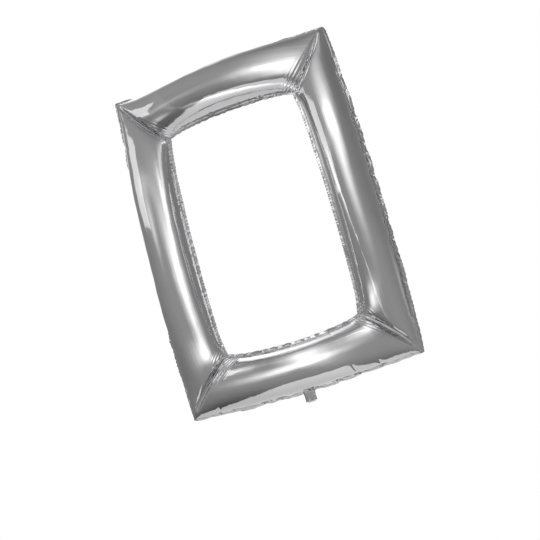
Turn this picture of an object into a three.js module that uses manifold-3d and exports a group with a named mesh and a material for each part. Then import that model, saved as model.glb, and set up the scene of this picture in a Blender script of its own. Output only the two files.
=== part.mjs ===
import * as THREE from 'three';
import { mergeVertices } from 'three/addons/utils/BufferGeometryUtils.js';
import Module from 'manifold-3d';

// Inflated foil frame balloon with an open window, in millimetres.
// X runs across, Z runs up, and the front faces -Y. The origin is the middle of the window, on the
// weld plane. Two ring-shaped sheets of film are welded along their outer edge and along the window,
// and gas swells them into four round arms that meet in a mitre valley at each corner.

// Driving dimensions
const WIDTH = 600;          // over the seam flanges, at mid-height
const HEIGHT = 850;         // over the seam flanges, at mid-width
const UPRIGHT_ACROSS = 115; // a side arm from weld to weld
const CROSS_ACROSS = 121;   // the top or bottom arm from weld to weld
const ROUNDNESS = 1.01;     // an arm's depth as a share of its width
const FLANGE = 7;           // film left outside each weld
const TIP_INSET = 12;       // how far the corner tips lie behind the bowed sides
const WINDOW_INSET = 3;     // how far the window corners lie inside the bowed window sides
const WALL = 10;            // thickness of each hollow half
const FILM = 1.4;           // the two films of a flange, lying together
const GAP = 0.3;            // between pieces that touch

// Puckers: the welds are gathered into pinches with a lobe between each two
const PINCHES_UPRIGHT = 14; // along a side arm
const PINCHES_CROSS = 9;    // along the top or bottom arm
const PINCH_STATIONS = 4;   // stations of the ring from one pinch to the next
const PINCH_IN = 4;         // how far a pinch draws the weld towards the arm's middle
const PINCH_VARY = 0.5;     // share by which the pinches differ
const PINCH_BEAT = 2.4;     // turn from station to station of the wave that varies them
const PINCH_SHARP = 6;      // how fast a pinch fades away from the weld
const PINCH_DENT = 0.06;    // share of the depth that a pinch presses in
const RUFFLE = 1.6;         // how far a flange's free edge waves to front and back
const RUFFLE_BEAT = 1.7;    // turn from station to station of that wave
const TIP_NOTCH = 5;        // how far each corner tip is drawn in

// The arms grow shallower towards the corners, and a valley runs along each mitre.
const CORNER_THIN = 0.24;   // share of the depth lost at a corner
const CORNER_REACH = 300;   // length of arm over which that fades
const VALLEY = 0.18;        // further share lost on the mitre itself
const VALLEY_REACH = 14;    // how fast that fades

// Filling tail: a flattened sleeve of film with the clear valve film inside it
const TAIL_WIDTH = 27;
const TAIL_OUT = 20;        // how far it hangs out of the flange
const TAIL_ROOT = 8;        // length held between the two sheets
const TAIL_DEPTH = 3;       // sleeve from front to back
const TAIL_FILM = 0.6;
const TAIL_LAP = 1;         // how far the root reaches into the sleeve
const TAIL_WELD = 3;        // sealed edge on each side of the sleeve
const VALVE_WIDTH = 17;
const VALVE_DEPTH = 1.0;
const VALVE_LENGTH = 18;
const VALVE_SHOWS = 2.5;    // how far the valve film stands out of the sleeve's mouth

const SKIN_STEPS = 12;      // facets across the outside of a half arm
const LINING_STEPS = 6;     // facets across its inside
const HELD = WALL - 2;      // width of flange between the rims of the two halves

const tip = { x: WIDTH / 2 - FLANGE - TIP_INSET, z: HEIGHT / 2 - FLANGE - TIP_INSET };
const windowSide = { x: WIDTH / 2 - FLANGE - UPRIGHT_ACROSS, z: HEIGHT / 2 - FLANGE - CROSS_ACROSS };
const windowCorner = { x: windowSide.x - WINDOW_INSET, z: windowSide.z - WINDOW_INSET };
const weldDrop = HEIGHT / 2 - FLANGE;

// The four arms, anticlockwise from the bottom: the direction along and outwards, the axes that its
// length and its distance from the middle are measured on, its width and its number of pinches
const upright = { length: 'z', offset: 'x', width: UPRIGHT_ACROSS, pinches: PINCHES_UPRIGHT };
const cross = { length: 'x', offset: 'z', width: CROSS_ACROSS, pinches: PINCHES_CROSS };
const ARMS = [
  { along: [1, 0], out: [0, -1], ...cross },
  { along: [0, 1], out: [1, 0], ...upright },
  { along: [-1, 0], out: [0, 1], ...cross },
  { along: [0, -1], out: [-1, 0], ...upright },
];

// Share of an arm's depth that is left at a distance from the mitre
function depthLeft(near) {
  const thin = CORNER_THIN * Math.max(0, 1 - near / CORNER_REACH);
  return 1 - thin - VALLEY * Math.exp(-((near / VALLEY_REACH) ** 2));
}

// Stations run round the ring. Pinches are sharp, and the lobes between them are round.
function ringStations() {
  const stations = [];
  for (const arm of ARMS) {
    const steps = arm.pinches * PINCH_STATIONS;
    for (let i = 0; i < steps; i++) {
      const t = (2 * i) / steps - 1;
      const near = (1 - Math.abs(t)) * tip[arm.length];
      const slack = Math.sin((Math.PI * i) / PINCH_STATIONS) ** 2;
      const strength = 1 + PINCH_VARY * Math.sin(PINCH_BEAT * stations.length);
      stations.push({
        arm,
        t,
        left: depthLeft(near),
        pinch: strength * (1 - Math.sqrt(slack)) ** 2,
        notch: i === 0 ? TIP_NOTCH : 0,
        ruffle: RUFFLE * Math.cos(RUFFLE_BEAT * stations.length) * slack,
      });
    }
  }
  return stations;
}

// A point on the weld plane. Across goes from -1 at the window weld to 1 at the outer weld, and
// beyond is a distance past it, positive outwards.
function planePoint(station, across, beyond = 0) {
  const { arm, t, pinch, notch } = station;
  const bow = 1 - t * t;
  const share = (across + 1) / 2;
  const near = Math.abs(across) ** PINCH_SHARP;
  const drawn = beyond - near * (across > 0 ? PINCH_IN * pinch + notch : -PINCH_IN * pinch);
  const inner = windowCorner[arm.offset] + bow * WINDOW_INSET;
  const outer = tip[arm.offset] + bow * TIP_INSET;
  const offset = inner + (outer - inner) * share + drawn;
  const reach = windowCorner[arm.length] + (tip[arm.length] - windowCorner[arm.length]) * share;
  const go = t * (reach + drawn);
  return { x: arm.along[0] * go + arm.out[0] * offset, z: arm.along[1] * go + arm.out[1] * offset };
}

// Joins one closed loop of points per station into a closed ring. The loops run the same way round.
function ringGeometry(loops) {
  const size = loops[0].length;
  const position = loops.flat().flatMap((p) => [p.x, p.y, p.z]);
  const index = [];
  loops.forEach((_, i) => {
    const next = (i + 1) % loops.length;
    for (let j = 0; j < size; j++) {
      const k = (j + 1) % size;
      const [a, b, c, d] = [i * size + j, next * size + j, next * size + k, i * size + k];
      index.push(a, c, b, a, d, c);
    }
  });
  const geometry = new THREE.BufferGeometry();
  geometry.setAttribute('position', new THREE.Float32BufferAttribute(position, 3));
  geometry.setIndex(index);
  return geometry;
}

// Turns a ring's faces round, for a loop that runs the other way.
function turned(geometry) {
  const index = geometry.getIndex().array;
  for (let i = 0; i < index.length; i += 3) {
    [index[i + 1], index[i + 2]] = [index[i + 2], index[i + 1]];
  }
  return geometry;
}

// One half of the envelope, as a hollow trough that is open towards the weld plane.
function foilHalf(stations, side) {
  const rim = FILM / 2 + GAP;
  const angles = (steps) => Array.from({ length: steps + 1 }, (_, j) => (j / steps - 0.5) * Math.PI);
  const skin = (station, angle) => {
    const across = Math.sin(angle);
    const dent = 1 - station.pinch * PINCH_DENT * Math.abs(across) ** PINCH_SHARP;
    const swell = (ROUNDNESS * station.arm.width) / 2 - rim;
    return { ...planePoint(station, across), y: Math.cos(angle) * swell * station.left * dent };
  };
  const loops = stations.map((station) => {
    const middle = planePoint(station, 0);
    const thin = 1 - (2 * WALL) / station.arm.width;
    const outside = angles(SKIN_STEPS).map((a) => skin(station, a));
    const inside = angles(LINING_STEPS).reverse().map((a) => {
      const p = skin(station, a);
      return { x: middle.x + (p.x - middle.x) * thin, z: middle.z + (p.z - middle.z) * thin, y: p.y * thin };
    });
    return [...outside, ...inside].map((p) => ({ ...p, y: side * (rim + p.y) }));
  });
  return side < 0 ? ringGeometry(loops) : turned(ringGeometry(loops));
}

// A seam flange: a thin strip held between the two halves, with its free edge waving.
function seamFlange(stations, across) {
  const held = -across * HELD;
  const free = across * FLANGE;
  const loops = stations.map((station) => {
    const columns = [[held, 0], [0, 0], [free, station.ruffle]];
    const face = columns.map(([beyond, wave]) => ({ ...planePoint(station, across, beyond), y: wave }));
    const front = face.map((p) => ({ ...p, y: p.y - FILM / 2 }));
    const back = face.map((p) => ({ ...p, y: p.y + FILM / 2 })).reverse();
    return [...front, ...back];
  });
  return across > 0 ? ringGeometry(loops) : turned(ringGeometry(loops));
}

const wasm = await Module();
wasm.setup();

function toSolid(geometry) {
  const bare = geometry.clone();
  bare.deleteAttribute('normal');
  bare.deleteAttribute('uv');
  const merged = mergeVertices(bare, 1e-4);
  return new wasm.Manifold(new wasm.Mesh({
    numProp: 3,
    vertProperties: new Float32Array(merged.getAttribute('position').array),
    triVerts: new Uint32Array(merged.getIndex().array),
  }));
}

function toGeometry(solid) {
  const mesh = solid.getMesh();
  const geometry = new THREE.BufferGeometry();
  geometry.setAttribute('position', new THREE.BufferAttribute(mesh.vertProperties, 3));
  geometry.setIndex(new THREE.BufferAttribute(mesh.triVerts, 1));
  return geometry;
}

// A box given by its width and depth about the middle, and by its top and bottom.
function slab(width, depth, top, bottom) {
  return new THREE.BoxGeometry(width, depth, top - bottom).translate(0, 0, (top + bottom) / 2);
}

const tailTop = TAIL_ROOT - weldDrop;
const sleeveTop = -weldDrop - FLANGE - GAP;
const tailEnd = -weldDrop - FLANGE - TAIL_OUT;

// The flange is open where the tail passes between the sheets.
function outerFlange(stations) {
  const slot = slab(TAIL_WIDTH + 2 * GAP, FLANGE, tailTop + TAIL_ROOT, sleeveTop - FLANGE);
  return toGeometry(toSolid(seamFlange(stations, 1)).subtract(toSolid(slot)));
}

function fillingTail() {
  const root = slab(TAIL_WIDTH, FILM, tailTop, sleeveTop - TAIL_LAP);
  const sleeve = slab(TAIL_WIDTH, TAIL_DEPTH, sleeveTop, tailEnd);
  const valveEnd = tailEnd - VALVE_SHOWS;
  const boreTop = valveEnd + VALVE_LENGTH + GAP;
  const bore = slab(TAIL_WIDTH - 2 * TAIL_WELD, TAIL_DEPTH - 2 * TAIL_FILM, boreTop, valveEnd);
  return toGeometry(toSolid(root).add(toSolid(sleeve)).subtract(toSolid(bore)));
}

function valveFilm() {
  const end = tailEnd - VALVE_SHOWS;
  return slab(VALVE_WIDTH, VALVE_DEPTH, end + VALVE_LENGTH, end);
}

const silver = { color: 0xc4c6c8, metalness: 1, roughness: 0.15 };
const clear = { color: 0xd8dcdc, metalness: 0, roughness: 0.3 };

function piece(name, geometry, finish) {
  const mesh = new THREE.Mesh(geometry, new THREE.MeshStandardMaterial(finish));
  mesh.name = name;
  return mesh;
}

const stations = ringStations();
const balloon = new THREE.Group();
balloon.add(
  piece('front_foil_sheet', foilHalf(stations, -1), silver),
  piece('back_foil_sheet', foilHalf(stations, 1), silver),
  piece('outer_seam_flange', outerFlange(stations), silver),
  piece('inner_seam_flange', seamFlange(stations, -1), silver),
  piece('filling_tail', fillingTail(), silver),
  piece('valve_film', valveFilm(), clear),
);

export default balloon;
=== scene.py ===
# %% [markdown]
# # A foil frame balloon
#
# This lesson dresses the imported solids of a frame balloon. The real one is two rings of metallised film, a
# few hundredths of a millimetre thick, which a hot bar has welded together along the outer outline and round
# the window. Gas fills the space between the two welds. Everything that makes such a balloon look real comes
# from that: round arms, pointed corners, creases along the mitres and puckers beside the welds.
#
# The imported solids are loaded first. They fix where everything goes, and they are never moved.

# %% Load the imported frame
import math

import bmesh
import bpy
import numpy as np
from mathutils import Matrix, Vector


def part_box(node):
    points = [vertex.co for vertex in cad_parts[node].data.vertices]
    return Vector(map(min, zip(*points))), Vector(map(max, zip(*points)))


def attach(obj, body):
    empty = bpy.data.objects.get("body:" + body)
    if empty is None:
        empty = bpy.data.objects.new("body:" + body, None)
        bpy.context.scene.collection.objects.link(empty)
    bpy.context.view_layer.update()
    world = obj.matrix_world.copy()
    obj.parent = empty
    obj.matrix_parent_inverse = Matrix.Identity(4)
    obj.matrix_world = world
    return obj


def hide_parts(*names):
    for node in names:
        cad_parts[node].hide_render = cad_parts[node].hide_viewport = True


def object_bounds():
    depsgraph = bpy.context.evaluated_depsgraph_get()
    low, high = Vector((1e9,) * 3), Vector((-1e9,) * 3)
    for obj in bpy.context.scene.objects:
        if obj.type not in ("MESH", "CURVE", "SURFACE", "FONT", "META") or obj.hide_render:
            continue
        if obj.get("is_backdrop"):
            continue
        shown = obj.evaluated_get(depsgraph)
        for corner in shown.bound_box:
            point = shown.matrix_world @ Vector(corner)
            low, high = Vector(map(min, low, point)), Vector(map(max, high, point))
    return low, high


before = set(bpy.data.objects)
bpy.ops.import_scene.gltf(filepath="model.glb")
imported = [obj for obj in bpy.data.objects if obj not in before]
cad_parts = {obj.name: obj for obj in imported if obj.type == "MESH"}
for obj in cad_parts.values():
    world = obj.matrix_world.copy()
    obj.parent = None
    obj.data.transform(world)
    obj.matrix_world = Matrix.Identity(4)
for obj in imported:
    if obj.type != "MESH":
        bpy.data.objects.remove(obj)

cad_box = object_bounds()
print("the solids fill", [tuple(round(x, 4) for x in corner) for corner in cad_box])

# %% [markdown]
# ## The camera
#
# The photograph was taken from a little to the right of the balloon and from below its middle, and the
# balloon hangs at a slant in it. A frame has no natural upright in the air, so here the balloon stands
# upright and the camera is rolled instead. The camera looks along its own -Z, so its place follows from
# three angles, a distance and how far the balloon is off the middle of the picture.

# %% Place the camera
AZIMUTH, ELEVATION, ROLL = (math.radians(a) for a in (13.4, -12.1, -15.97))
CAMERA_AWAY = 2.8
PICTURE_SHIFT = (-0.0224, 0.1144)
LENS = 77.7

toward_camera = Vector((math.sin(AZIMUTH) * math.cos(ELEVATION),
                        -math.cos(AZIMUTH) * math.cos(ELEVATION), math.sin(ELEVATION)))
level_side = Vector((0, 0, 1)).cross(toward_camera).normalized()
level_up = toward_camera.cross(level_side)
picture_side = level_side * math.cos(ROLL) + level_up * math.sin(ROLL)
picture_up = level_up * math.cos(ROLL) - level_side * math.sin(ROLL)

camera = bpy.data.objects.new("camera", bpy.data.cameras.new("camera"))
bpy.context.scene.collection.objects.link(camera)
camera.data.lens = LENS
camera.data.clip_start, camera.data.clip_end = 0.05, 50
turn = Matrix((picture_side, picture_up, toward_camera)).transposed()
camera.rotation_mode = "QUATERNION"
camera.rotation_quaternion = turn.to_quaternion()
camera.location = (toward_camera * CAMERA_AWAY
                   - picture_side * PICTURE_SHIFT[0] - picture_up * PICTURE_SHIFT[1])
bpy.context.scene.camera = camera
print("camera at", tuple(round(x, 3) for x in camera.location))

# %% [markdown]
# ## Where the welds lie
#
# Sizes come from the frame. The outer flange's points near the middle of each arm give the outer outline,
# and the inner flange's give the window. The welds lie one flange inside those edges. An axis number picks
# the pair in question: 0 is across the frame, X, and 1 is along it, Z.

# %% Measure the welds
FLANGE = 0.007
MIDDLE = 0.02


def mid_reach(node, edge):
    """How far out a node reaches at mid-arm, in X and in Z. edge picks its outer or inner side."""
    points = np.array([v.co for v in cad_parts[node].data.vertices])
    across = np.abs(points[np.abs(points[:, 2]) < MIDDLE, 0])
    along = np.abs(points[np.abs(points[:, 0]) < MIDDLE, 2])
    return np.array([edge(across), edge(along)])


OUTER_WELD = mid_reach("outer_seam_flange", np.max) - FLANGE
WINDOW_WELD = mid_reach("inner_seam_flange", np.min) + FLANGE
ARM = OUTER_WELD - WINDOW_WELD
DEPTH = 2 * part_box("back_foil_sheet")[1].y
print("welds at", OUTER_WELD.round(4), WINDOW_WELD.round(4), "arms", ARM.round(4), "deep", round(DEPTH, 4))

# %% [markdown]
# ## The flat cut
#
# A flat sleeve of film turns round when it is filled, and its flat width is then about one and a half times
# its diameter. So each ring is cut with arms wider than they look, and the window a little smaller. Towards
# a corner the arm is cut narrower, along a nearly straight line. That taper gives the pointed, cone-like
# ends of the arms: a sleeve cut at full width into the corner would puff up there like a pillow. The real
# balloon is a little uneven, so each side of the window is also moved in by an amount of its own.
#
# The film is drawn as a ring of stations, each a row of points from the window weld (share 0) to the outer
# weld (share 1), with a few rows beyond each weld for the flanges. The ring runs along the bottom, right,
# top and left arm, and every list with four values has them in that order.

# %% Lay out the flat cut
BOTTOM, RIGHT, TOP, LEFT = range(4)
ALONG = np.array([[1, 0], [0, 1], [-1, 0], [0, -1]])
OUTWARD = np.array([[0, -1], [1, 0], [0, 1], [-1, 0]])
RUNS = np.array([0, 1, 0, 1])
FACES = np.array([1, 0, 1, 0])

FLAT_TO_ROUND = 1.537
WINDOW_IN = np.array([0.003, 0.003, 0.014, 0.006])
WINDOW_SMALLER = np.array([0.005, 0.011])
FLAT_ARM = FLAT_TO_ROUND * ARM[FACES] + WINDOW_IN
FLAT_WINDOW = WINDOW_WELD - WINDOW_SMALLER
CORNER_ARM = np.array([0.1085, 0.1215])
TAPER = np.array([0.25, 0.2])
TAPER_SOFT = 0.3


def stations(cross, upright):
    """Arm number and place along it, from -1 to 1, of each station."""
    counts = (cross, upright, cross, upright)
    arm = np.repeat(np.arange(4), counts)
    at = np.concatenate([np.arange(n) * 2 / n - 1 for n in counts])
    return arm, at


def rows(body, rim):
    """Share of the way across and distance beyond a weld of each row."""
    row = np.arange(-rim, body + rim + 1)
    beyond = (np.minimum(row, 0) + np.maximum(row - body, 0)) * FLANGE / rim
    return np.clip(row / body, 0, 1), beyond


def place(arm, go, out):
    """Points in the frame's plane from a distance along the arm and one outwards."""
    return np.stack([ALONG[arm, k][:, None] * go + OUTWARD[arm, k][:, None] * out for k in (0, 1)])


def flat_cut(arm, at, share, beyond):
    """The flat pattern's points, as (X and Z, station, row)."""
    next_arm = (arm + np.where(at < 0, -1, 1)) % 4
    further_in, shorter = WINDOW_IN[arm][:, None], WINDOW_IN[next_arm][:, None]
    run = FLAT_WINDOW[RUNS[arm]][:, None] - shorter
    face = FLAT_WINDOW[FACES[arm]][:, None] - further_in
    full = FLAT_ARM[arm][:, None]
    corner_run = CORNER_ARM[RUNS[arm]][:, None] + shorter
    corner_face = CORNER_ARM[FACES[arm]][:, None] + further_in
    near = (1 - np.abs(at))[:, None] * (run + corner_run)
    rest = 1 - near / TAPER[FACES[arm]][:, None]
    taper = (rest + np.sqrt(rest ** 2 + TAPER_SOFT ** 2)) / (1 + math.sqrt(1 + TAPER_SOFT ** 2))
    width = full - (full - corner_face) * taper
    return place(arm, at[:, None] * (run + share * corner_run + beyond), face + share * width + beyond)


print("flat arms", FLAT_ARM.round(4), "flat window", FLAT_WINDOW.round(4))

# %% [markdown]
# ## Spare film
#
# A weld shrinks the film a little, and the film beside it has nowhere to go but into small puckers. The same
# happens at the mitres, where film from two arms meets: the real balloon has a bundle of sharp folds there.
# So each spot gets a factor for how much longer the film is than its place along the ring. A real sheet
# isn't longer there, but it has the same effect as a shorter weld, and it is much simpler to write down.
# Four lots are added up: the seam along the outer weld, an ear at the edge of each tip, the hem along the
# window on the upright arms, and the fold across each mitre.
#
# Filling also draws the outline in. The tips end a little inside the solids' corners, two of them with a
# shift of their own as on the real balloon, and most sides bow out by a centimetre between their tips.

# %% Say where film is spare
TIP_IN = np.array([0.011, 0.006])
TIP = OUTER_WELD - TIP_IN
TIP_SHIFT = np.array([[-0.009, 0.005], [0, 0], [0, 0], [0.004, 0.006]])
TIPS = np.array([[-1, -1], [1, -1], [1, 1], [-1, 1]]) * TIP + TIP_SHIFT
BOW = np.array([0.012, 0.011, 0.000, 0.012])
BOW_SKEW = np.array([0, 0, 0.009, 0])

SEAM_SPARE, SEAM_FROM, SEAM_FADE = np.array([0.006, 0.010, 0.006, 0.010]), 0.8, 0.2
SEAM_AWAY = 0.03
EAR_SPARE, EAR_WIDE = 0.03, 0.02
HEM_SPARE, HEM_SHARE = np.array([0, 0.012, 0, 0.012]), 0.12
FOLD_SPARE, FOLD_WIDE, FOLD_IN = 0.38, 0.055, 1.15


def ease(x):
    """0 below 0, 1 above 1 and a soft step between."""
    x = np.clip(x, 0, 1)
    return x * x * (3 - 2 * x)


def bump(x, wide):
    """1 at 0, falling away to nothing past about twice wide."""
    return np.exp(-(x / wide) ** 2)


def from_tip(arm, at):
    """Distance along the ring from the nearest corner."""
    return ((1 - np.abs(at)) * TIP[RUNS[arm]])[:, None]


def spare(arm, at, share):
    """How many times its flat length the film is, at each station and row."""
    near = from_tip(arm, at)
    at_seam = ease((share - SEAM_FROM) / SEAM_FADE)
    seam = SEAM_SPARE[arm][:, None] * at_seam * ease(near / SEAM_AWAY)
    ear = EAR_SPARE * at_seam * bump(near, EAR_WIDE)
    hem = HEM_SPARE[arm][:, None] * ease((HEM_SHARE - share) / HEM_SHARE)
    fold = FOLD_SPARE * np.sin(np.pi * np.minimum(share * FOLD_IN, 1)) * bump(near, FOLD_WIDE)
    return 1 + seam + ear + hem + fold


print("film up to", round(1 + FOLD_SPARE, 2), "times as long at the mitres, tips at", TIPS.round(3).tolist())

# %% [markdown]
# ## Tucks
#
# Along a real weld the puckers aren't even. Every few centimetres one deep tuck has formed as the balloon
# filled, and it holds the weld in, so that the edge of the balloon runs in long shallow lobes from tuck to
# tuck. So the outer weld has a limit that it may not pass, a shallow bow with a notch at each tuck, and it
# may lie only a little inside that limit. The tucks are drawn from a seeded generator, so that the balloon
# is the same each time, and the three deepest ones of the real balloon are added from a list. The window's
# weld finds its own line, and its tucks only give creases later.

# %% Choose the tucks
luck = np.random.default_rng(11)
TUCK_HOLD, TUCK_WIDE = 0.0035, 0.006
TUCK_FIRST, TUCK_START, TUCK_GAP = 0.045, (0.01, 0.04), (0.03, 0.075)
TUCK_FORCE = (0.35, 1)
TIP_TUCKS, TIP_TUCK_STRAY, TIP_TUCK_FORCE = (0.017, 0.04), 0.004, 0.3
DEEP_TUCKS = [(LEFT, -0.73, 1.5), (BOTTOM, 0.5, 1.4), (BOTTOM, 0.7, 1.2)]
WINDOW_TUCKS_TO = 0.8
WELD_STRAY, WELD_SLACK = 0.0022, 0.0015
TAIL_FLAT = 0.018


def choose_tucks():
    """(arm, place along it, strength) of each tuck, with two small ones beside each tip."""
    tucks = []
    for arm in range(4):
        reach = TIP[RUNS[arm]]
        for side in (-1, 1):
            for back in TIP_TUCKS:
                back += luck.uniform(-TIP_TUCK_STRAY, TIP_TUCK_STRAY)
                tucks.append((arm, side * (1 - back / reach), TIP_TUCK_FORCE))
        at = -reach + TUCK_FIRST + luck.uniform(*TUCK_START)
        while at < reach - TUCK_FIRST:
            tucks.append((arm, at / reach, luck.uniform(*TUCK_FORCE)))
            at += luck.uniform(*TUCK_GAP)
    return tucks


def weld_limits(arm, at):
    """The way outwards at each station, how far the outer weld may lie, and the stations at the tail."""
    start, end = ((corner * OUTWARD).sum(1)[arm] for corner in (TIPS, np.roll(TIPS, -1, axis=0)))
    limit = start * (1 - at) / 2 + end * (1 + at) / 2
    limit += (BOW[arm] - BOW_SKEW[arm] * at) * (1 - at ** 2)
    for a, place_along, force in tucks:
        beside = np.abs(at - place_along) * TIP[RUNS[a]]
        limit -= np.where(arm == a, force * TUCK_HOLD * np.exp(-beside / TUCK_WIDE), 0)
    at_tail = np.where((arm == BOTTOM) & (np.abs(at) * TIP[0] < TAIL_FLAT))[0]
    return OUTWARD[arm].T, limit, at_tail


tucks = choose_tucks() + DEEP_TUCKS
window_tucks = [tuck for tuck in choose_tucks() if abs(tuck[1]) < WINDOW_TUCKS_TO]
print(len(tucks), "tucks in the outer weld,", len(window_tucks), "in the window's")

# %% [markdown]
# ## The shape to start from
#
# The solver needs a rough balloon to start from: two half-round sheets on the ring, thinner at the tips and
# the tucks, with a few shallow stripes beside the mitres, so that the folds there form along the mitre as
# they do on the real one.

# %% Start with a rough balloon
STRIPE, STRIPE_PITCH, STRIPE_WIDE, STRIPE_IN = 0.003, 0.014, 0.045, 1.25
WINDOW_BOW = 0.003
TIP_THIN, TIP_THIN_WIDE = 0.35, 0.022
TUCK_THIN, TUCK_THIN_WIDE = 0.25, 0.008


def rough_balloon(arm, at, share, beyond):
    """Points as (X, Y and Z; front and back; station; row)."""
    run_in, face_in = ((WINDOW_WELD - WINDOW_BOW)[pick[arm]][:, None] for pick in (RUNS, FACES))
    run_out, face_out = (TIP[pick[arm]][:, None] for pick in (RUNS, FACES))
    along = at[:, None]
    bow = 1 - along ** 2
    angle = (share - 0.5) * math.pi
    over = (np.sin(angle) + 1) / 2
    edge = np.clip(share * 2 - 1, 0, 1) ** 6
    near = from_tip(arm, at)
    pull_in = np.zeros_like(along)
    for a, place_along, force in tucks:
        d = (along - place_along) * TIP[RUNS[a]]
        pull_in += np.where(arm == a, 1, 0)[:, None] * force * bump(d, TUCK_THIN_WIDE)
    out = (face_in + WINDOW_BOW * bow) * (1 - over) + (face_out + BOW[arm][:, None] * bow) * over
    go = along * (run_in * (1 - over) + run_out * over + beyond)
    deep = np.cos(angle) * DEPTH / 2
    deep = deep * (1 - TIP_THIN * bump(near, TIP_THIN_WIDE)) * (1 - TUCK_THIN * pull_in * edge)
    stripes = STRIPE * np.sin(np.pi * np.minimum(share * STRIPE_IN, 1)) * bump(near, STRIPE_WIDE)
    deep = deep + stripes * np.cos(2 * np.pi * near / STRIPE_PITCH)
    x, z = place(arm, go, out + beyond - pull_in * edge * TUCK_HOLD)
    return np.stack([np.stack([x, side * deep, z]) for side in (-1, 1)], axis=1)


# %% [markdown]
# ## The solver
#
# Blender's Cloth can blow up a cushion, but film hardly stretches at all, and Cloth needs very many steps
# before a large ring of it stops stretching. Here the film is a regular grid, so a few lines of numpy do the
# same work much faster. In each step gas pushes every cell outwards along its normal. Then every thread
# between neighbours is pulled back to its flat length: along the ring, across it and on both diagonals, with
# a weak thread over two cells that keeps the film from folding too sharply. Threads pull hard when they are
# too long and give way when they are too short, as film does, which is what makes it crease. Last, the two
# sheets are joined again at the welds, and the outer weld is held within its limits and at its four tips.

# %% Pull the threads of the film
FIRM = {"pull": 1.0, "push": 0.5}
SLANT = {"pull": 0.5, "push": 0.2}
BEND = 0.25
GAS = 0.1
KEEP_SPEED = 0.95


def pull_threads(a, b, rest, pull, push):
    """Moves both ends of each thread by half of what it is too long or too short."""
    d = b - a
    miss = 1 - rest / np.sqrt(d[0] * d[0] + d[1] * d[1] + d[2] * d[2])
    d *= 0.5 * np.where(miss > 0, pull, push) * miss
    a += d
    b -= d


def straighten(a, b, rest):
    """What each end of a two-cell thread moves by where it is too short."""
    d = b - a
    miss = 1 - rest / np.sqrt(d[0] * d[0] + d[1] * d[1] + d[2] * d[2])
    d *= 0.5 * BEND * np.minimum(miss, 0)
    return d


def length(a, b):
    """The distance between points."""
    return np.sqrt(((a - b) ** 2).sum(0))


# %% Work out every thread's flat length
def thread_lengths(flat, more):
    """Rest lengths from the flat cut, with the spare film in those along the ring and on the diagonals."""
    ring = np.concatenate([flat, flat[:, :1]], axis=1)
    factor = np.concatenate([more, more[:1]])
    plain = length(ring[:, 1:], ring[:, :-1])
    along = plain * (factor[1:] + factor[:-1]) / 2
    extra = along ** 2 - plain ** 2
    extra = (extra[:, 1:] + extra[:, :-1]) / 2
    rest = {"along": along, "across": length(flat[:, :, 1:], flat[:, :, :-1]),
            "rising": np.sqrt(length(ring[:, :-1, :-1], ring[:, 1:, 1:]) ** 2 + extra),
            "falling": np.sqrt(length(ring[:, :-1, 1:], ring[:, 1:, :-1]) ** 2 + extra),
            "two along": along + np.roll(along, -1, axis=0),
            "two across": length(flat[:, :, 2:], flat[:, :, :-2])}
    return {name: value.astype(np.float32) for name, value in rest.items()}


# %% Push with gas and hold the weld
def gas_push(points, body):
    """A push on each corner of each gas-side cell, along the cell's normal and outwards.

    Half the cross product of a cell's diagonals is its area, and each of its corners takes a quarter.
    """
    sheet = points[:, :, :, body]
    d1 = sheet[:, :, 1:, 1:] - sheet[:, :, :-1, :-1]
    d2 = sheet[:, :, :-1, 1:] - sheet[:, :, 1:, :-1]
    push = np.stack([d1[1] * d2[2] - d1[2] * d2[1], d1[2] * d2[0] - d1[0] * d2[2],
                     d1[0] * d2[1] - d1[1] * d2[0]])
    push *= GAS / 8
    push[:, 0] *= -1
    return push


def hold(points, tips, limits, outer):
    """Keeps the outer weld within its limits, level at the tail, and its tips where they belong."""
    (x, z), limit, at_tail = limits
    weld = points[..., outer]
    moved = weld[:, :, :len(limit)]
    over = moved[0] * x + moved[2] * z - limit
    over = np.maximum(over, 0) + np.minimum(over + WELD_SLACK, 0)
    moved[0] -= over * x
    moved[2] -= over * z
    np.clip(weld[1], -WELD_STRAY, WELD_STRAY, out=weld[1])
    weld[1][:, at_tail] = 0
    weld[0][:, tips], weld[1][:, tips], weld[2][:, tips] = TIPS[:, 0], 0, TIPS[:, 1]


# %% Let the film settle
LOW, HIGH = slice(None, -1), slice(1, None)


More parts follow.
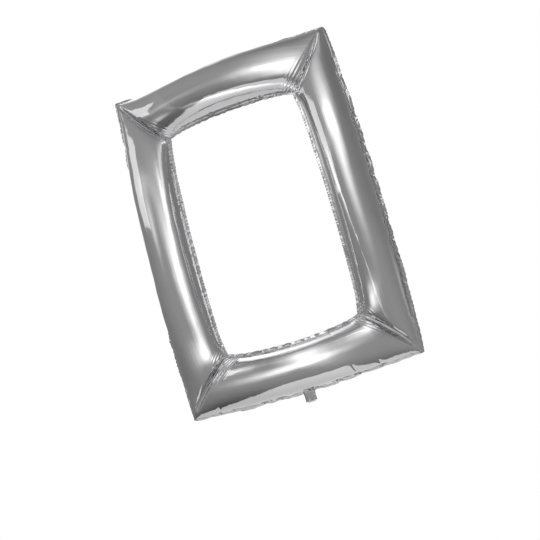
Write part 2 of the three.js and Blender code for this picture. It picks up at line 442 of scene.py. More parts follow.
def settle(points, rest, tips, limits, body, rim, steps):
    """Lets the film find its place. A copy of the first station closes the ring, and is kept equal to it."""
    count = points.shape[2]
    points = np.concatenate([points, points[:, :, :1]], axis=2).astype(np.float32)
    inside = slice(rim, rim + body + 1)
    welded = np.r_[0:rim + 1, rim + body:body + 2 * rim + 1]
    outer = rim + body
    drift = np.zeros_like(points)
    ring = points[:, :, :count]
    for _ in range(steps):
        push = gas_push(points, inside)
        before = points.copy()
        points += drift * KEEP_SPEED
        gas = points[:, :, :, inside]
        for one, other in ((LOW, LOW), (LOW, HIGH), (HIGH, LOW), (HIGH, HIGH)):
            gas[:, :, one, other] += push
        points[:, :, 0, rim:outer] += push[:, :, -1]
        points[:, :, 0, rim + 1:outer + 1] += push[:, :, -1]
        lift = straighten(ring, np.roll(ring, -2, axis=2), rest["two along"])
        ring += lift - np.roll(lift, 2, axis=2)
        lift = straighten(ring[..., :-2], ring[..., 2:], rest["two across"])
        ring[..., :-2] += lift
        ring[..., 2:] -= lift
        points[:, :, -1] = points[:, :, 0]
        for odd in (0, 1):
            here, there = points[:, :, odd:count:2], points[:, :, odd + 1:count + 1:2]
            stale, fresh = (0, -1) if odd else (-1, 0)
            pull_threads(here[..., :-1], there[..., 1:], rest["rising"][odd::2], **SLANT)
            points[:, :, stale] = points[:, :, fresh]
            pull_threads(here[..., 1:], there[..., :-1], rest["falling"][odd::2], **SLANT)
            points[:, :, stale] = points[:, :, fresh]
        for odd in (0, 1):
            pull_threads(ring[..., odd:-1:2], ring[..., odd + 1::2], rest["across"][:, odd::2], **FIRM)
        points[:, :, -1] = points[:, :, 0]
        for odd in (0, 1):
            here, there = points[:, :, odd:count:2], points[:, :, odd + 1:count + 1:2]
            stale, fresh = (0, -1) if odd else (-1, 0)
            pull_threads(here, there, rest["along"][odd::2], **FIRM)
            points[:, :, stale] = points[:, :, fresh]
        points[..., welded] = points[..., welded].mean(axis=1, keepdims=True)
        hold(points, tips, limits, outer)
        drift = points - before
    return points[:, :, :count].copy()


# %% [markdown]
# ## From coarse to fine
#
# A fine grid passes a push on slowly, one cell in each step, so a fine ring would need thousands of steps.
# It is quicker to settle a coarse grid first, halve its cells and settle again: large shapes come from the
# coarse grid, and each finer one only adds the next smaller folds.

# %% Blow up the balloon
LEVELS = [(700, 1), (450, 2), (350, 4)]
CROSS_STATIONS, UPRIGHT_STATIONS, BODY_ROWS = 56, 80, 18
START_STRAY = 0.0003
MID_ARM = 0.1


def halve(grid):
    """The grid with a new point between each pair, both ways. The ring of stations closes."""
    ring = np.concatenate([grid, grid[..., :1, :]], axis=-2)
    more = np.empty(ring.shape[:-2] + (2 * grid.shape[-2], ring.shape[-1]), grid.dtype)
    more[..., 0::2, :] = ring[..., :-1, :]
    more[..., 1::2, :] = (ring[..., :-1, :] + ring[..., 1:, :]) / 2
    fine = np.empty(more.shape[:-1] + (2 * more.shape[-1] - 1,), grid.dtype)
    fine[..., 0::2] = more
    fine[..., 1::2] = (more[..., :-1] + more[..., 1:]) / 2
    return fine


film = None
for steps, finer in LEVELS:
    arm, at = stations(CROSS_STATIONS * finer, UPRIGHT_STATIONS * finer)
    body, rim = BODY_ROWS * finer, finer
    share, beyond = rows(body, rim)
    flat = flat_cut(arm, at, share, beyond)
    if film is None:
        film = rough_balloon(arm, at, share, beyond)
        film += luck.normal(0, START_STRAY, film.shape)
    else:
        film = halve(film)
    rest = thread_lengths(flat, spare(arm, at, share))
    tips = np.where(at == -1)[0]
    film = settle(film, rest, tips, weld_limits(arm, at), body, rim, steps)
    across = np.abs(film[0, 0, np.abs(at) < MID_ARM]).mean(0)
    print("grid", film.shape[2:], "upright welds at", across[[rim, rim + body]].round(4))

# %% [markdown]
# ## Taut film is smooth
#
# The solver leaves small waves on the middle of the arms, where the real film is drum-tight and mirrors the
# room in long straight lines. A few passes of averaging along the ring take them out. They leave the puckers
# beside the welds and the folds at the mitres alone.

# %% Smooth the taut parts
TAUT_SHARES, TAUT_FADE = (0.05, 0.97), 0.12
FOLDS_TO, FOLDS_SHORTER, FOLDS_FADE = 0.045, 0.035, 0.03
OUTER_HALF, OUTER_FADE = 0.5, 0.3
SMOOTH_PASSES = 20

near = from_tip(arm, at)
calm_from = FOLDS_TO - FOLDS_SHORTER * ease((share - OUTER_HALF) / OUTER_FADE)
taut = ease((share - TAUT_SHARES[0]) / TAUT_FADE) * ease((TAUT_SHARES[1] - share) / TAUT_FADE)
taut = taut * ease((near - calm_from) / FOLDS_FADE)
for _ in range(SMOOTH_PASSES * finer):
    mean = (np.roll(film, 1, axis=2) + 2 * film + np.roll(film, -1, axis=2)) / 4
    film += (mean - film) * taut
print("smoothed", round(float(taut.mean()), 2), "of the film")

# %% [markdown]
# ## Pleats, creases and a facet
#
# The solver's folds lie close to each mitre. On the real balloon more of them fan out on both sides, from
# the corner of the window to the tip of the frame: sharp valleys with round ridges between. They are added
# here as a height along the film's normal, in bands that run beside the mitre. A sharp crease runs in from
# each tuck of a weld too. Beside the lower right mitre the film of the right arm lies in one broad flat
# facet, which is a straight chord laid across the solved shape, with a slight dip.

# %% Add the pleats
PLEAT = 0.0018
PLEAT_PITCH, PLEAT_REACH = (0.009, 0.014), (0.05, 0.075)
PLEAT_START, PLEAT_END = 0.01, 0.035
PLEAT_NARROWS = 1.15
STRONGER = {(BOTTOM, -1): 2.2, (BOTTOM, 1): 1.4}
CREASE, CREASE_WIDE, CREASE_REACH, CREASE_FULL = 0.001, 0.003, 0.2, 1.2
FACET_DROP, FACET_FROM, FACET_WIDE, FACET_SHARES = 0.002, 0.009, 0.034, (0.12, 0.93)


def pleats():
    """Height of the pleats beside the eight mitre flanks, for each station and row."""
    height = np.zeros((len(arm), len(share)))
    narrow = PLEAT_NARROWS - share
    fan = near / narrow
    for a in range(4):
        for side in (-1, 1):
            pitch = luck.uniform(*PLEAT_PITCH)
            phase = luck.uniform(0, math.pi)
            reach = luck.uniform(*PLEAT_REACH)
            flank = ((arm == a) & (np.sign(at) == side))[:, None]
            wave = np.abs(np.sin(np.pi * fan / pitch + phase))
            fade = ease(fan / PLEAT_START) * ease((reach - fan) / PLEAT_END) * np.sin(np.pi * share) ** 0.5
            height += flank * fade * wave * PLEAT * STRONGER.get((a, side), 1) * narrow
    return height


def creases(places, inwards):
    """Depth of the sharp creases that run in from a weld's tucks. inwards is each row's share from there."""
    depth = np.zeros((len(arm), len(share)))
    for a, place_along, force in places:
        beside = np.abs((at - place_along) * TIP[RUNS[a]])[:, None]
        length_in = ease(CREASE_FULL - inwards / (CREASE_REACH * force))
        depth += (arm == a)[:, None] * np.exp(-beside / CREASE_WIDE) * length_in * force * CREASE
    return depth


def flatten_facet():
    """Makes one flat facet beside the lower right mitre, wide at the window and narrow at the tip."""
    distance = near[:, 0]
    for row, part in enumerate(share):
        wide = FACET_FROM + (FACET_WIDE - FACET_FROM) * (1 - part)
        inside = np.where((arm == RIGHT) & (at < 0) & (distance > FACET_FROM) & (distance < wide))[0]
        if part < FACET_SHARES[0] or part > FACET_SHARES[1] or len(inside) < 3:
            continue
        low, high = film[:, 0, inside[0], row].copy(), film[:, 0, inside[-1], row].copy()
        low[1] += FACET_DROP * math.sin(math.pi * part)
        share_up = np.linspace(0, 1, len(inside))
        film[:, 0, inside, row] = low[:, None] + (high - low)[:, None] * share_up


run_step = np.roll(film, -1, axis=2) - np.roll(film, 1, axis=2)
row_step = np.gradient(film, axis=3)
outwards = np.cross(run_step, row_step, axis=0)
outwards /= np.linalg.norm(outwards, axis=0) + 1e-12
outwards[:, 0] *= -np.sign(outwards[1:2, 0].mean())
outwards[:, 1] *= np.sign(outwards[1:2, 1].mean())
relief = pleats() - creases(tucks, 1 - share) - creases(window_tucks, share)
film += outwards * relief
flatten_facet()
print("pleats", round(float(relief.max()), 4), "m high, creases", round(float(-relief.min()), 4), "m deep")

# %% [markdown]
# ## Two sheets of film
#
# Each sheet runs from weld to weld as one open surface. bmesh lays a grid with one vertex for each solved
# point, the vertices take their places, and the first and last rows are merged so that the ring closes. The
# UV map keeps real lengths: U runs along the ring and V across the film, in metres, so that the finish can
# follow the weld as it does on real film.

# %% Turn the solved film into meshes
def into_object(work, name):
    """Turns a finished bmesh into an object of the scene."""
    mesh = bpy.data.meshes.new(name)
    work.to_mesh(mesh)
    work.free()
    made = bpy.data.objects.new(name, mesh)
    bpy.context.scene.collection.objects.link(made)
    return made


def ring_mesh(name, points, width, reverse=False):
    """A closed ring of film from points (X, Y and Z; station; row), with a UV map in metres."""
    count, across = points.shape[1:]
    closed = np.concatenate([points, points[:, :1]], axis=1)
    work = bmesh.new()
    work.loops.layers.uv.new("film")
    bmesh.ops.create_grid(work, x_segments=across - 1, y_segments=count, size=1, calc_uvs=True)
    for vertex, place_at in zip(work.verts, closed.reshape(3, -1).T.tolist()):
        vertex.co = place_at
    bmesh.ops.remove_doubles(work, verts=work.verts[:], dist=1e-6)
    if reverse:
        bmesh.ops.reverse_faces(work, faces=work.faces[:])
    piece = into_object(work, name)
    layer = piece.data.uv_layers["film"].uv
    uv = np.empty(len(layer) * 2, np.float32)
    layer.foreach_get("vector", uv)
    uv = uv.reshape(-1, 2)
    middle = closed[:, :, across // 2]
    run = np.concatenate([[0], np.cumsum(length(middle[:, 1:], middle[:, :-1]))])
    along = np.interp(uv[:, 1] * count, np.arange(count + 1), run)
    layer.foreach_set("vector", np.stack([along, uv[:, 0] * width], 1).ravel())
    piece.data.shade_smooth()
    print(name, len(piece.data.vertices), "points,", len(piece.data.polygons), "faces")
    return piece


FILM_WIDTH = float(FLAT_ARM.mean())
front_film = ring_mesh("front_film", film[:, 0, :, rim:rim + body + 1], FILM_WIDTH, reverse=True)
back_film = ring_mesh("back_film", film[:, 1, :, rim:rim + body + 1], FILM_WIDTH)

# %% [markdown]
# ## The flanges
#
# Outside each weld the two films go on together for a few millimetres. That strip is stiff enough to stand
# up, but it is forced into the shorter length of the puckered weld. So it breaks into short arcs between
# sharp creases, and the arcs bend to either side, more towards the free edge. The solved rows beyond the
# welds are halved once more. Seeded draws place the creases, closer together along the upright arms, and a
# sum of seeded waves adds small ripples. Each arm's flange also leans by an angle of its own, to the back
# round the outside and a little to the front round the window.

# %% Cockle the flanges
FILM_THICK = 0.0003
COCKLE = 0.0014
LONG_ARCS, SHORT_ARCS = (0.018, 0.045), (0.006, 0.018)
RIPPLE_LENGTHS, UPRIGHT_RIPPLE, CROSS_RIPPLE = (0.006, 0.015), 0.2, 0.08
LEAN_LENGTHS, LEAN_STRAY, LEAN_SOFT = (0.06, 0.4), 0.12, 16
OUTER_SCALLOP, OUTER_LEANS = 0.16, (1.0, 0.1, 0.9, 0.85)
WINDOW_SCALLOP, WINDOW_LEANS = 0.2, (-0.2, -0.1, -0.3, -0.1)
ARC_FORCE = (0.4, 1)
WAVES = 60
RING_LENGTH = 4 * OUTER_WELD.sum()


def ripples(count, shortest, longest, seed):
    """A wavy line round the ring, of spread 1, with waves between two lengths in metres."""
    dice = np.random.default_rng(seed)
    turns = dice.integers(int(RING_LENGTH / longest), int(RING_LENGTH / shortest), WAVES)
    phase = dice.uniform(0, 2 * math.pi, WAVES)
    angle = np.arange(count)[:, None] * 2 * math.pi / count
    return np.sin(angle * turns + phase).sum(1) / math.sqrt(WAVES / 2)


def arcs(count, shortest, longest, seed):
    """Arcs from crease to crease round the ring: their height, 0 at a crease, and the same with a sign."""
    dice = np.random.default_rng(seed)
    gaps = dice.uniform(shortest, longest, int(2 * RING_LENGTH / (shortest + longest)))
    ends = np.cumsum(gaps) / gaps.sum() * count
    which = np.searchsorted(ends, np.arange(count), side="right")
    starts = np.concatenate([[0], ends[:-1]])
    arc = np.sin(np.pi * (np.arange(count) - starts[which]) / (ends - starts)[which])
    force = dice.uniform(*ARC_FORCE, len(gaps)) * dice.choice([-1, 1], len(gaps))
    return arc, arc * force[which]


def cockled(strip, seed, scallop, leans):
    """The strip of film, row 0 at its weld, with creases, arcs between them and each arm's lean back."""
    strip = halve(strip)
    count, across = strip.shape[1:]
    free = np.linspace(0, 1, across)
    upright = np.repeat(FACES[arm] == 0, 2)
    long_arc, long_wave = arcs(count, *LONG_ARCS, seed)
    short_arc, short_wave = arcs(count, *SHORT_ARCS, seed + 1)
    arc = np.where(upright, short_arc, long_arc)
    ripple = np.where(upright, UPRIGHT_RIPPLE, CROSS_RIPPLE) * ripples(count, *RIPPLE_LENGTHS, seed + 2)
    wave = np.where(upright, short_wave, long_wave) + ripple
    outward = strip[:, :, -1:] - strip[:, :, :1]
    lean = np.repeat(np.array(leans)[arm], 2) + LEAN_STRAY * ripples(count, *LEAN_LENGTHS, seed + 4)
    closed = np.r_[lean[-LEAN_SOFT:], lean, lean[:LEAN_SOFT]]
    spread = 2 * LEAN_SOFT + 1
    angle = np.convolve(closed, np.ones(spread) / spread, "valid")[:, None]
    short = 1 - np.cos(angle) + scallop * (1 - arc)[:, None]
    strip -= short * free * outward
    strip[1] += (FLANGE * np.sin(angle) + COCKLE * wave[:, None]) * free
    return strip


def thicken(piece, thickness):
    """Gives a sheet of film its thickness, half to each side."""
    solid = piece.modifiers.new("film", "SOLIDIFY")
    solid.thickness = thickness
    solid.offset = 0


outer_strip = cockled(film[:, 0, :, rim + body:], 5, OUTER_SCALLOP, OUTER_LEANS)
window_strip = cockled(film[:, 0, :, rim::-1], 8, WINDOW_SCALLOP, WINDOW_LEANS)
outer_flange = ring_mesh("outer_welded_edge", outer_strip, FLANGE)
window_flange = ring_mesh("window_welded_edge", window_strip, FLANGE)
for flange in (outer_flange, window_flange):
    thicken(flange, FILM_THICK)

# %% [markdown]
# ## The filling tail
#
# Every foil balloon is filled through a tail: a flat sleeve that leaves the weld, sealed along both sides,
# with a narrower sleeve of clear film inside that closes by itself. It hangs at the middle of the lower arm.
# A bmesh grid makes the front film and a copy of it the back film, which stands off by twice the belly.
# Merging the sealed sides makes it one sleeve. The flange is cut away where the sleeve passes through.

# %% Make the tail and the valve film
TAIL_LOW, TAIL_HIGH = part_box("filling_tail")
VALVE_LOW, VALVE_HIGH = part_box("valve_film")
TAIL_HALF = TAIL_HIGH.x
VALVE_TOP = -0.004
VALVE_THICK = 0.0002
ROOT_REACH = 0.03
SLEEVE_CELLS = 28
SLEEVE_FLARE = 0.10
LEAST_OPEN = 0.35
BACK_BELLY_LONG = 0.02

weld_row = film[:, 0, :, rim + body]
lower = (np.abs(weld_row[0]) < ROOT_REACH) & (weld_row[2] < 0)
root_order = np.argsort(weld_row[0, lower])
weld_x, weld_y, weld_z = (weld_row[k, lower][root_order] for k in range(3))


def root(x):
    """Y and Z of the lower weld at a place along X."""
    return float(np.interp(x, weld_x, weld_y)), float(np.interp(x, weld_x, weld_z))


def open_share(x, down, half, seal):
    """How far a sleeve is open at a spot: 0 at its sealed sides, and most halfway down its middle."""
    halfway = math.sin(math.pi * (down * 0.9 + 0.05))
    return float(ease((half - abs(x)) / seal)) * (LEAST_OPEN + (1 - LEAST_OPEN) * halfway)


def flat_sleeve(name, half, top, bottom, belly, seal, wave, film_thick):
    """A sleeve of film, flat and sealed at its sides, with its root on the weld."""
    work = bmesh.new()
    bmesh.ops.create_grid(work, x_segments=SLEEVE_CELLS, y_segments=SLEEVE_CELLS, size=1)
    for vertex in work.verts:
        side, down = vertex.co.x, (1 - vertex.co.y) / 2
        x = side * half * (1 + SLEEVE_FLARE * (1 - down) ** 4)
        root_y, root_z = root(x)
        start = root_z + top
        crumple = wave * math.sin(9 * side + 14 * down + 2 * math.sin(5 * down)) * down
        y = root_y * (1 - down) + crumple - belly * open_share(x, down, half, seal)
        vertex.co = (x, y, start + (bottom - start) * down)
    copy = bmesh.ops.duplicate(work, geom=work.verts[:] + work.edges[:] + work.faces[:])["geom"]
    for vertex in [part for part in copy if isinstance(part, bmesh.types.BMVert)]:
        fallen = (root(vertex.co.x)[1] + top - vertex.co.z) / BACK_BELLY_LONG
        vertex.co.y += 2 * belly * open_share(vertex.co.x, min(max(fallen, 0), 1), half, seal)
    bmesh.ops.remove_doubles(work, verts=work.verts[:], dist=1e-5)
    bmesh.ops.recalc_face_normals(work, faces=work.faces[:])
    piece = into_object(work, name)
    piece.data.shade_smooth()
    thicken(piece, film_thick)
    print(name, len(piece.data.vertices), "points")
    return piece


tail = flat_sleeve("filling_tail_sleeve", TAIL_HALF, 0.0, TAIL_LOW.z,
                   belly=0.0011, seal=0.004, wave=0.0007, film_thick=FILM_THICK)
valve = flat_sleeve("valve_film_mouth", VALVE_HIGH.x, VALVE_TOP, VALVE_LOW.z,
                    belly=0.0005, seal=0.003, wave=0.0006, film_thick=VALVE_THICK)


# %% Cut the flange away behind the tail
def behind_tail(face):
    """Whether a face of the outer flange lies where the sleeve passes through it."""
    middle = face.calc_center_median()
    return abs(middle.x) < TAIL_HALF and middle.z < 0


work = bmesh.new()
work.from_mesh(outer_flange.data)
behind = [face for face in work.faces if behind_tail(face)]
bmesh.ops.delete(work, geom=behind, context="FACES")
work.to_mesh(outer_flange.data)
work.free()
print("cut", len(behind), "faces of flange away")

# %% [markdown]
# ## The finish of metallised film
#
# The film is a mirror. A thin coat of aluminium takes about a quarter of the light and leaves it grey, and
# the plastic under it is rolled, so that it has faint lines along the web and very shallow unevenness. Taut
# film also pulls into faint lines along the arm, and near a weld it is finely wrinkled, half as much with
# every 5 millimetres or so away from it. One node group gives all of it as a height in metres and a
# roughness, and each material takes them in its own strength.

# %% Build the film group
def new_group(name, inputs, outputs):
    """A shader node group with the given float inputs and outputs. An input without a value is a vector."""
    group = bpy.data.node_groups.new(name, "ShaderNodeTree")
    for socket, default in inputs:
        kind = "NodeSocketVector" if default is None else "NodeSocketFloat"
        made = group.interface.new_socket(socket, in_out="INPUT", socket_type=kind)
        if default is not None:
            made.default_value = default
    for socket in outputs:
        group.interface.new_socket(socket, in_out="OUTPUT", socket_type="NodeSocketFloat")
    return group, group.nodes.new("NodeGroupInput"), group.nodes.new("NodeGroupOutput")


def node(tree, kind, settings=(), **inputs):
    """A node with its settings and its inputs, each a value or the socket that feeds it."""
    made = tree.nodes.new("ShaderNode" + kind)
    for key, value in dict(settings).items():
        setattr(made, key, value)
    for key, value in inputs.items():
        socket = made.inputs[int(key[1:])] if key[0] == "i" and key[1:].isdigit() else made.inputs[key]
        if isinstance(value, bpy.types.NodeSocket):
            tree.links.new(value, socket)
        else:
            socket.default_value = value
    return made


def math_node(tree, operation, *values):
    """The result of one sum on sockets or numbers."""
    return node(tree, "Math", {"operation": operation},
                **{f"i{k}": value for k, value in enumerate(values)}).outputs[0]


def film_noise(waves, detail, **more):
    """Noise that lies on the film, with so many waves in a metre along it and across it."""
    laid = node(film_group, "VectorMath", {"operation": "MULTIPLY"}, i0=g_in.outputs["UV"], i1=waves)
    return node(film_group, "TexNoise", Vector=laid.outputs[0], Scale=1.0, Detail=detail, **more).outputs[0]


WRINKLE_WAVES, ROLLED_WAVES, PULLED_WAVES = (150, 22, 1), (9, 260, 1), (4, 100, 1)
WRINKLE_HIGH, ROLLED_HIGH, PULLED_HIGH, SWELL_HIGH = 0.0011, 0.000012, 0.00027, 0.0016
SWELL_WAVES = 14.0
WELD_HALVINGS = 220.0
WELD_ROUGH, ROLLED_ROUGH = 0.05, 0.03

film_group, g_in, g_out = new_group(
    "rolled_film", [("UV", None), ("Place", None), ("Width", FILM_WIDTH), ("Wrinkles", 1), ("Sheen", 0.09)],
    ["Height", "Roughness"])
across_film = node(film_group, "SeparateXYZ", Vector=g_in.outputs["UV"]).outputs["Y"]
to_weld = math_node(film_group, "MINIMUM", across_film,
                    math_node(film_group, "SUBTRACT", g_in.outputs["Width"], across_film))
beside = math_node(film_group, "POWER", 2.0, math_node(film_group, "MULTIPLY", to_weld, -WELD_HALVINGS))
wrinkled = film_noise(WRINKLE_WAVES, 3.0, Roughness=0.55)
rolled = film_noise(ROLLED_WAVES, 2.0)
pulled = film_noise(PULLED_WAVES, 2.0)
swell = node(film_group, "TexNoise", Vector=g_in.outputs["Place"], Scale=SWELL_WAVES, Detail=2.0,
             Roughness=0.4).outputs[0]
wrinkled = math_node(film_group, "MULTIPLY", math_node(film_group, "MULTIPLY", wrinkled, beside),
                     g_in.outputs["Wrinkles"])
height = math_node(film_group, "MULTIPLY", wrinkled, WRINKLE_HIGH)
for texture, high in ((swell, SWELL_HIGH), (rolled, ROLLED_HIGH), (pulled, PULLED_HIGH)):
    height = math_node(film_group, "MULTIPLY_ADD", texture, high, height)
rough = math_node(film_group, "MULTIPLY_ADD", beside, WELD_ROUGH, g_in.outputs["Sheen"])
rough = math_node(film_group, "MULTIPLY_ADD", rolled, ROLLED_ROUGH, rough)
film_group.links.new(height, g_out.inputs["Height"])
film_group.links.new(rough, g_out.inputs["Roughness"])
print("film group with", len(film_group.nodes), "nodes")


# %% Make the foil materials
def foil(name, colour, width, wrinkles, sheen):
    """A mirror-like film whose finish comes from the film group."""
    made = bpy.data.materials.new(name)
    made.use_nodes = True
    tree = made.node_tree
    tree.nodes.clear()
    uv = node(tree, "UVMap", {"uv_map": "film"}).outputs[0]
    place_at = node(tree, "TexCoord").outputs["Object"]
    finish = node(tree, "Group", {"node_tree": film_group}, UV=uv, Place=place_at, Width=width,
                  Wrinkles=wrinkles, Sheen=sheen)
    relief = node(tree, "Bump", Strength=1.0, Distance=1.0, Height=finish.outputs["Height"])
    shader = node(tree, "BsdfPrincipled", Metallic=1.0, Normal=relief.outputs[0],
                  Roughness=finish.outputs["Roughness"])
    shader.inputs["Base Color"].default_value = (*colour, 1)
    node(tree, "OutputMaterial", Surface=shader.outputs[0])
    return made


silver_foil = foil("silver_foil", (0.74, 0.74, 0.75), FILM_WIDTH, wrinkles=1.0, sheen=0.07)
welded_foil = foil("welded_foil", (0.70, 0.70, 0.71), 2 * FLANGE, wrinkles=0.5, sheen=0.12)
for piece, material in ((front_film, silver_foil), (back_film, silver_foil), (outer_flange, welded_foil),
                        (window_flange, welded_foil), (tail, welded_foil)):
    piece.data.materials.append(material)
    print(piece.name, "is made of", material.name)

# %% [markdown]
# ## The clear valve film
#
# The inner sleeve is milky polyethylene. It is thin enough to let light through, so its surface is partly
# see-through, in soft clouds, with a little white and a soft shine.

# %% Make the valve film's material
CLOUDS = 180.0
CLOUD_FROM, CLOUD_TO = 0.3, 0.7
CLEAREST, MILKIEST = 0.35, 0.6
VALVE_ROUGH = 0.2

clear_film = bpy.data.materials.new("clear_film")
clear_film.use_nodes = True
tree = clear_film.node_tree
shader = tree.nodes["Principled BSDF"]
cloud = node(tree, "TexNoise", Vector=node(tree, "TexCoord").outputs["Object"], Scale=CLOUDS, Detail=3.0)
milky = node(tree, "MapRange", i0=cloud.outputs[0], i1=CLOUD_FROM, i2=CLOUD_TO, i3=CLEAREST, i4=MILKIEST)
rough = math_node(tree, "MULTIPLY_ADD", cloud.outputs[0], VALVE_ROUGH, VALVE_ROUGH)
tree.links.new(milky.outputs[0], shader.inputs["Alpha"])
tree.links.new(rough, shader.inputs["Roughness"])
shader.inputs["Base Color"].default_value = (0.8, 0.82, 0.82, 1)
valve.data.materials.append(clear_film)
print(valve.name, "is made of", clear_film.name)

# %% [markdown]
# ## Hang each piece on the body
#
# The film replaces the solids, which are hidden, and rides on the one body. Each piece is listed with its
# solid and the slot of its finish in the record, and keeps the material it was given above. Each of the two
# sheets was cut as a flat ring, whose outer size and area follow from the flat cut.

for piece, solid, slot in ((front_film, "front_foil_sheet", "silver_foil"),
                           (back_film, "back_foil_sheet", "silver_foil"),
                           (outer_flange, "outer_seam_flange", "welded_foil"),
                           (window_flange, "inner_seam_flange", "welded_foil"),
                           (tail, "filling_tail", "welded_foil"), (valve, "valve_film", "clear_film")):
    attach(piece, "root")
    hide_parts(solid)

# %% [markdown]
# ## A pale studio
#
# A mirror shows the room, so the room is most of the material. Here it is a plain grey studio. The world
# shows white to the camera and to the floor, and the grey room to the film: the Light Path node tells the
# rays apart. The grey is darkest straight above and below and towards the upper right, and lightest at the
# height of the balloon and towards the upper left. All directions are the picture's: the balloon hangs at a
# slant, but the room stands level.

# %% Paint the grey room
PICTURE_AXES = (picture_side, picture_up, toward_camera)
ROOM_GREY = 0.30
LIGHTER_ABOVE, LIGHTER_IN_FRONT = 0.063, 0.033
DARKER_AT_CORNER, DARKER_AT_POLES = 0.135, 0.147

world = bpy.data.worlds.new("studio")
bpy.context.scene.world = world
world.use_nodes = True
tree = world.node_tree
tree.nodes.clear()
direction = node(tree, "TexCoord").outputs["Generated"]
to_side, rise, to_front = (node(tree, "VectorMath", {"operation": "DOT_PRODUCT"}, i0=direction,
                                i1=tuple(axis)).outputs["Value"] for axis in PICTURE_AXES)
walls = math_node(tree, "MULTIPLY_ADD", rise, LIGHTER_ABOVE, ROOM_GREY)
walls = math_node(tree, "MULTIPLY_ADD", to_front, LIGHTER_IN_FRONT, walls)
darker = math_node(tree, "MULTIPLY_ADD", to_side, DARKER_AT_CORNER,
                   math_node(tree, "MULTIPLY", rise, DARKER_AT_POLES))
room = math_node(tree, "SUBTRACT", walls, math_node(tree, "MULTIPLY", rise, darker))
paths = node(tree, "LightPath")
pale = math_node(tree, "MAXIMUM", paths.outputs["Is Camera Ray"], paths.outputs["Is Diffuse Ray"])
shown = node(tree, "Mix", {"data_type": "FLOAT"}, i0=pale, i2=room, i3=1.0)
light = node(tree, "Background", Color=shown.outputs[0])
node(tree, "OutputWorld", Surface=light.outputs[0])
print("room with", len(tree.nodes), "nodes")

# %% [markdown]
# ## Soft boxes
#
# The long highlights are soft boxes that stand close to the balloon. A lamp has hard edges, and here the
# highlights fade out over a hand's width, so each soft box is a card that glows most in its middle and lets
# through what is behind it. Each is placed where one arm mirrors it: from a spot on that arm, in a direction
# given by two angles in the picture's axes. Two more stand behind the balloon, for the look of its back.
# Neither camera nor floor sees the cards.

# %% Build the glow group
glow_group, g_in, g_out = new_group("soft_glow", [("Place", None), ("Across", 1), ("Along", 1)], ["Glow"])
spot = node(glow_group, "SeparateXYZ", Vector=g_in.outputs["Place"])
squares = []
for axis, wide in (("X", "Across"), ("Y", "Along")):
    part = math_node(glow_group, "DIVIDE", spot.outputs[axis], g_in.outputs[wide])
    squares.append(math_node(glow_group, "MULTIPLY", part, part))
fade = math_node(glow_group, "MULTIPLY", math_node(glow_group, "ADD", *squares), -1.0)
glow_group.links.new(math_node(glow_group, "EXPONENT", fade), g_out.inputs["Glow"])
print("glow group with", len(glow_group.nodes), "nodes")

# %% Hang the soft boxes
UP, SIDE = (0, 0, 1), (1, 0, 0)
CARD_EDGE = 2.2


def card(name, spot, azimuth, elevation, away, arm_runs, half_wide, half_high):
    """A flat card that a spot on the balloon mirrors to the camera, seen only in mirrors."""
    a, e = math.radians(azimuth), math.radians(elevation)
    way = (picture_side * math.sin(a) * math.cos(e) + picture_up * math.sin(e)
           + toward_camera * math.cos(a) * math.cos(e))
    work = bmesh.new()
    bmesh.ops.create_grid(work, x_segments=1, y_segments=1, size=1)
    bmesh.ops.scale(work, vec=(half_wide, half_high, 1), verts=work.verts[:])
    made = into_object(work, name)
    made.visible_camera = made.visible_diffuse = made.visible_shadow = False
    z = Vector(-way).normalized()
    y = (Vector(arm_runs) - z * z.dot(Vector(arm_runs))).normalized()
    where = Vector(spot) + way * away
    made.matrix_world = Matrix.Translation(where) @ Matrix((y.cross(z), y, z)).transposed().to_4x4()
    shine = bpy.data.materials.new(name)
    shine.use_nodes = True
    shine.node_tree.nodes.clear()
    made.data.materials.append(shine)
    made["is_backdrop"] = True
    print(name, "at", tuple(round(x, 2) for x in where))
    return shine.node_tree


def shine_and_pass(tree, strength):
    """A surface that shines and still lets through what is behind it."""
    shine = node(tree, "Emission", Strength=strength)
    both = node(tree, "AddShader", i0=shine.outputs[0], i1=node(tree, "BsdfTransparent").outputs[0])
    node(tree, "OutputMaterial", Surface=both.outputs[0])


def soft_box(name, spot, azimuth, elevation, arm_runs, across, along, strength, away=0.3):
    """A card that glows most in its middle."""
    tree = card(name, spot, azimuth, elevation, away, arm_runs, CARD_EDGE * across, CARD_EDGE * along)
    glow = node(tree, "Group", {"node_tree": glow_group}, Place=node(tree, "TexCoord").outputs["Object"],
                Across=across, Along=along)
    shine_and_pass(tree, math_node(tree, "MULTIPLY", glow.outputs[0], strength))


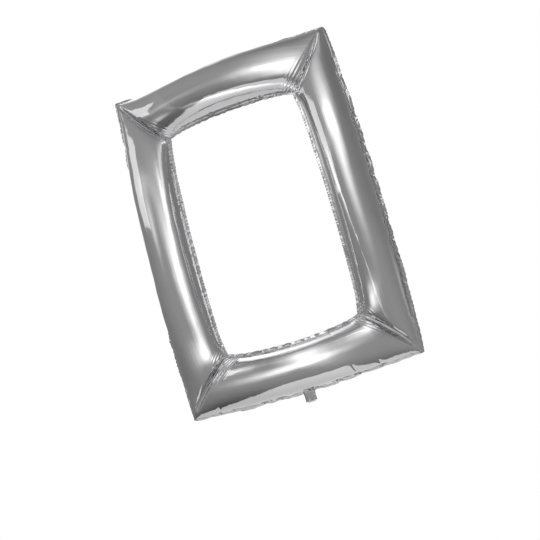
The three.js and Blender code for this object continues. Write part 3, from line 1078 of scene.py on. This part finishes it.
soft_box("left_soft_box", (-0.235, -0.055, -0.19), 23, 44, UP, 0.105, 0.26, 1.2)
soft_box("left_edge_box", (-0.235, -0.055, -0.035), -60, 33, UP, 0.059, 0.108, 0.50)
soft_box("right_soft_box", (0.241, -0.055, 0.09), -29, 33, UP, 0.125, 0.27, 1.0)
soft_box("lower_soft_box", (-0.03, -0.055, -0.357), -34, 26, SIDE, 0.047, 0.165, 1.1, away=0.2)
soft_box("upper_soft_box", (0.26, -0.05, 0.36), -30, -3, SIDE, 0.075, 0.14, 0.9)
soft_box("upper_edge_box", (-0.27, -0.05, 0.36), -33, -2, SIDE, 0.050, 0.264, 0.20)
soft_box("right_edge_box", (0.27, -0.02, 0.06), 94, -9, UP, 0.166, 0.135, 0.20, away=0.7)
soft_box("back_left_box", (0, 0, 0), -150, 30, UP, 0.35, 0.60, 1.5, away=1.3)
soft_box("back_right_box", (0, 0, 0), 150, 15, UP, 0.25, 0.60, 1.2, away=1.3)

# %% [markdown]
# ## White panels
#
# Two of the film's reflections are pale with crisp edges: the lobes along the left arm, and the underside
# of the lower arm. A soft box would blur those edges, so these two come from plain cards, white all over:
# one upright at the left, and one flat below the balloon.

# %% Put up the white panels
def panel(name, spot, azimuth, elevation, arm_runs, across, along, strength, away):
    """An evenly white card with crisp edges."""
    shine_and_pass(card(name, spot, azimuth, elevation, away, arm_runs, across, along), strength)


panel("white_wall", (-0.27, -0.02, 0.30), -79, 6, UP, 0.28, 0.23, 0.58, away=0.7)
panel("white_paper", (0.08, -0.01, -0.41), 0, -90, SIDE, 1.9, 0.55, 0.56, away=1.0)

# %% [markdown]
# ## The floor
#
# The balloon hangs in the air, so the floor is only a backdrop for views from above: a wide pale disc, well
# below it. The film doesn't mirror the disc, because the white card already stands for it there. The
# Standard view keeps the whites as bright as the room says.

# %% Lay the floor
FLOOR_RADIUS, FLOOR_HEIGHT = 6, -1.35

work = bmesh.new()
bmesh.ops.create_circle(work, cap_ends=True, segments=96, radius=FLOOR_RADIUS)
bmesh.ops.translate(work, verts=work.verts[:], vec=(0, 0, FLOOR_HEIGHT))
floor = into_object(work, "floor")
floor.visible_glossy = False
floor_finish = bpy.data.materials.new("pale_floor")
floor_finish.use_nodes = True
floor_shader = floor_finish.node_tree.nodes["Principled BSDF"]
floor_shader.inputs["Base Color"].default_value = (0.8, 0.8, 0.8, 1)
floor_shader.inputs["Roughness"].default_value = 0.8
floor.data.materials.append(floor_finish)
floor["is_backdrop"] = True
bpy.context.scene.view_settings.view_transform = "Standard"
print("floor", round(-FLOOR_HEIGHT, 2), "m below the middle of the window")

# %% [markdown]
# ## The sizes of the solids and the film
#
# The dressed balloon has to keep the size of the solids. Both boxes are printed before the script ends.

# %% Write the sizes and finish
new_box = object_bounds()
for title, (low, high) in (("solids", cad_box), ("film", new_box)):
    print(title, [round(b - a, 4) for a, b in zip(low, high)])
